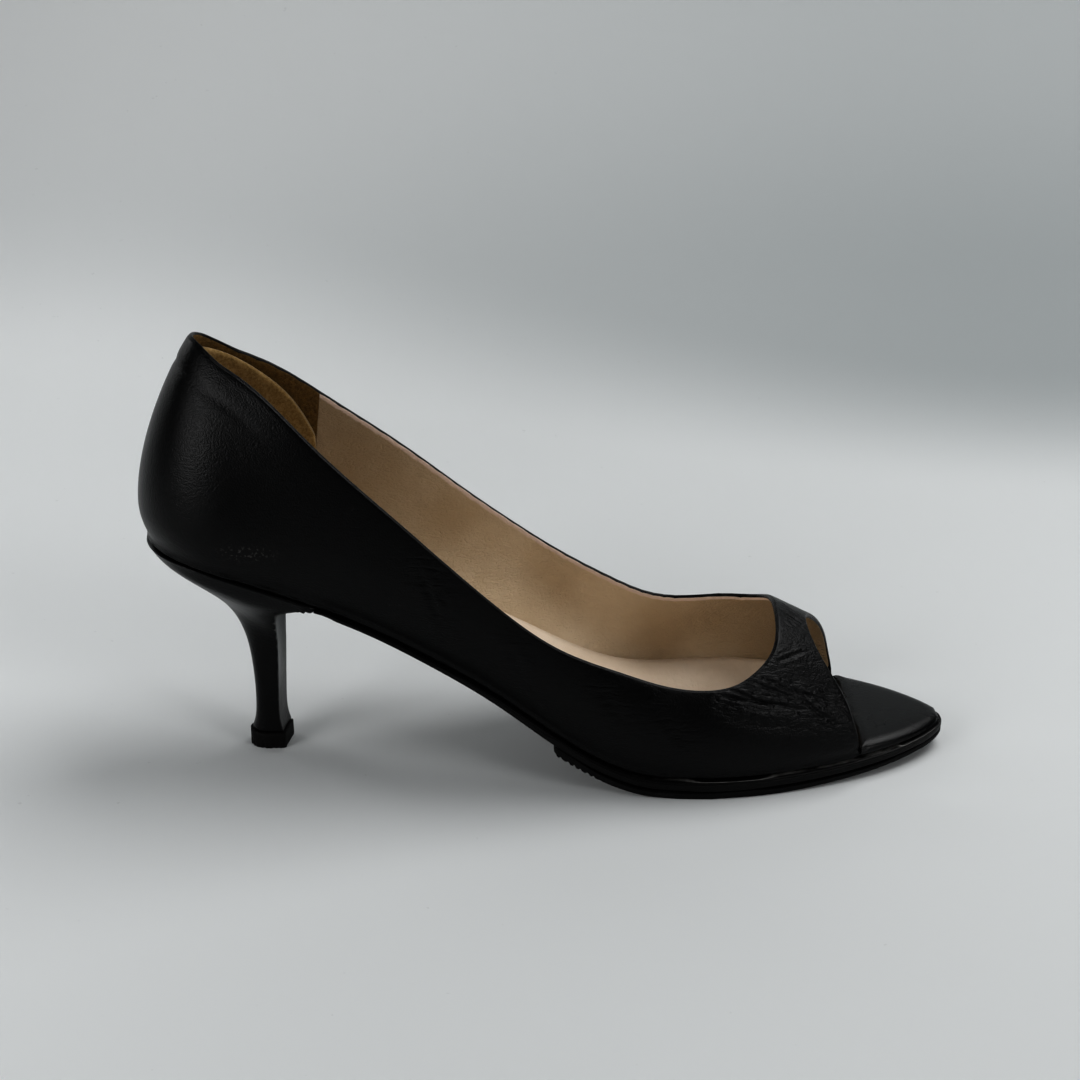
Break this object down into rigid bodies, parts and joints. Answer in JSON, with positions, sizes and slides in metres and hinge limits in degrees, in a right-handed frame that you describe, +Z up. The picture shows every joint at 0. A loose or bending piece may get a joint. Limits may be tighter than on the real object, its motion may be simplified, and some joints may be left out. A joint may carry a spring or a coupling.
{
  "type": "peep toe pump",
  "caption": "Right-foot slip-on pump in smooth leather with a peep toe, low scooped collar, curved slim heel, thin sole and half sole.",
  "frame": {"origin": "on the floor, under the middle of the shoe's box", "axes": "+X towards the toe, +Y towards the inner (medial) side, +Z up"},
  "size_m": [0.2388, 0.0724, 0.1296],
  "materials": {
    "black_leather": "smooth grained leather, soft gloss, creased at the vamp",
    "heel_leather": "smooth covering leather, soft gloss, chipped at the breast edge",
    "sole_edge": "black dyed leather sole, satin, light worn line on its edge",
    "black_rubber": "matt, worn",
    "sock_leather": "thin beige sock leather, matt, rubbed and smudged",
    "tan_suede": "suede, napped"
  },
  "bodies": {
    "root": {"upper": "black_leather", "toe_bed": "black_leather", "heel": "heel_leather", "outsole": "sole_edge", "half_sole": "black_rubber", "top_piece": "black_rubber", "insole": "sock_leather", "heel_grip": "tan_suede"}
  },
  "joints": []
}
